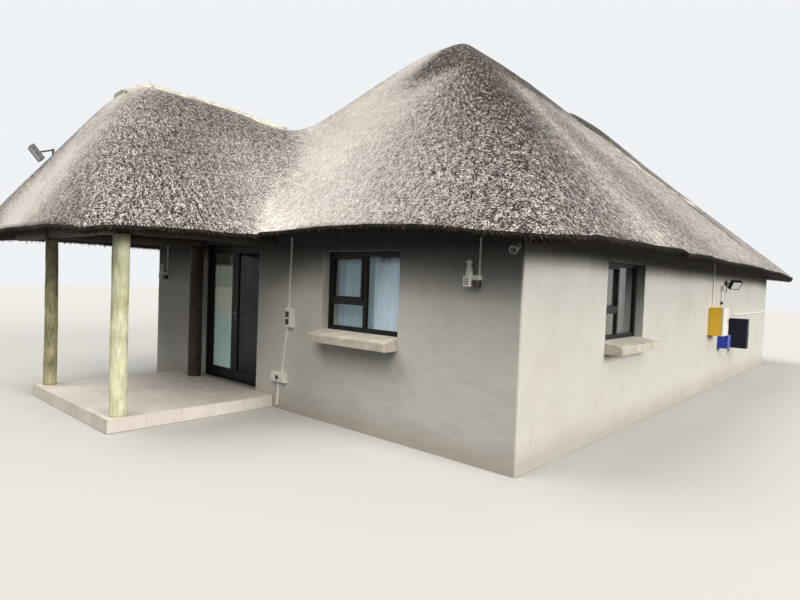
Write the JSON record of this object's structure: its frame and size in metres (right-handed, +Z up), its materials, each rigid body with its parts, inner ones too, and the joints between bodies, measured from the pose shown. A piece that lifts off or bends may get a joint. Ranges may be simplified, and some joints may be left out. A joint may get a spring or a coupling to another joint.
{
  "type": "thatched hut with porch",
  "caption": "Plastered hut with joined, rounded thatch humps, a gum-pole porch, framed windows on rough concrete sills and a glazed double door that swings inwards.",
  "frame": {"origin": "on the ground at the centre of the main room, on the floor's underside", "axes": "+X to the side wall with the window, +Y to the back, +Z up"},
  "size_m": [8.3083, 14.3111, 5.62],
  "materials": {
    "floor_screed": "matt screed",
    "porch_tiles": "matt tile",
    "shaded_plaster": "matt painted plaster",
    "plaster": "matt painted plaster",
    "bronze_frame": "satin",
    "window_glass": "clear",
    "sill_concrete": "rough cast",
    "curtain_cloth": "woven",
    "cream_curtain": "woven",
    "blue_curtain": "woven",
    "black_handle": "satin",
    "gum_pole": "peeled, weathered",
    "thatch": "weathered straw",
    "ridge_mortar": "rough mortar",
    "white_conduit": "satin",
    "white_plastic": "satin",
    "lamp_metal": "satin",
    "light_tube": "satin",
    "black_lamp_metal": "satin",
    "yellow_box": "satin",
    "navy_box": "satin"
  },
  "bodies": {
    "house": {"house_floor": "floor_screed", "porch_floor": "porch_tiles", "front_wall_right": "shaded_plaster", "front_wall_left": "shaded_plaster", "door_lintel": "shaded_plaster", "side_wall": "plaster", "rear_side_wall": "plaster", "rear_wall": "plaster", "rear_left_wall": "plaster", "left_wall": "plaster", "window_frames": "bronze_frame", "window_glass": "window_glass", "window_sills": "sill_concrete", "window_curtains": "curtain_cloth", "door_frame": "bronze_frame", "porch_posts": "gum_pole", "porch_beams": "gum_pole", "main_thatch_right": "thatch", "main_thatch_front": "thatch", "main_thatch_left": "thatch", "rear_thatch_right": "thatch", "rear_thatch_back": "thatch", "rear_thatch_left": "thatch", "porch_thatch_right": "thatch", "porch_thatch_front": "thatch", "porch_thatch_left": "thatch", "porch_ridge_cap": "ridge_mortar", "wall_conduits": "white_conduit", "switch_boxes": "white_plastic", "wall_lamps": "lamp_metal", "door_light": "light_tube", "floodlights": "black_lamp_metal", "security_camera": "lamp_metal", "yellow_meter_box": "yellow_box", "blue_meter_boxes": "navy_box"},
    "left_door_leaf": {"left_leaf_frame": "bronze_frame", "left_leaf_glass": "window_glass", "left_leaf_curtain": "cream_curtain"},
    "right_door_leaf": {"right_leaf_frame": "bronze_frame", "right_leaf_glass": "window_glass", "right_leaf_curtain": "blue_curtain", "door_handles": "black_handle"}
  },
  "joints": [
    {"name": "left_door_hinge", "type": "hinge", "parent": "house", "child": "left_door_leaf", "pos_m": [-1.937, -3.25, 1.12], "axis": [0, 0, 1], "range_deg": [0, 90]},
    {"name": "right_door_hinge", "type": "hinge", "parent": "house", "child": "right_door_leaf", "pos_m": [-0.553, -3.25, 1.12], "axis": [0, 0, -1], "range_deg": [0, 90]}
  ]
}
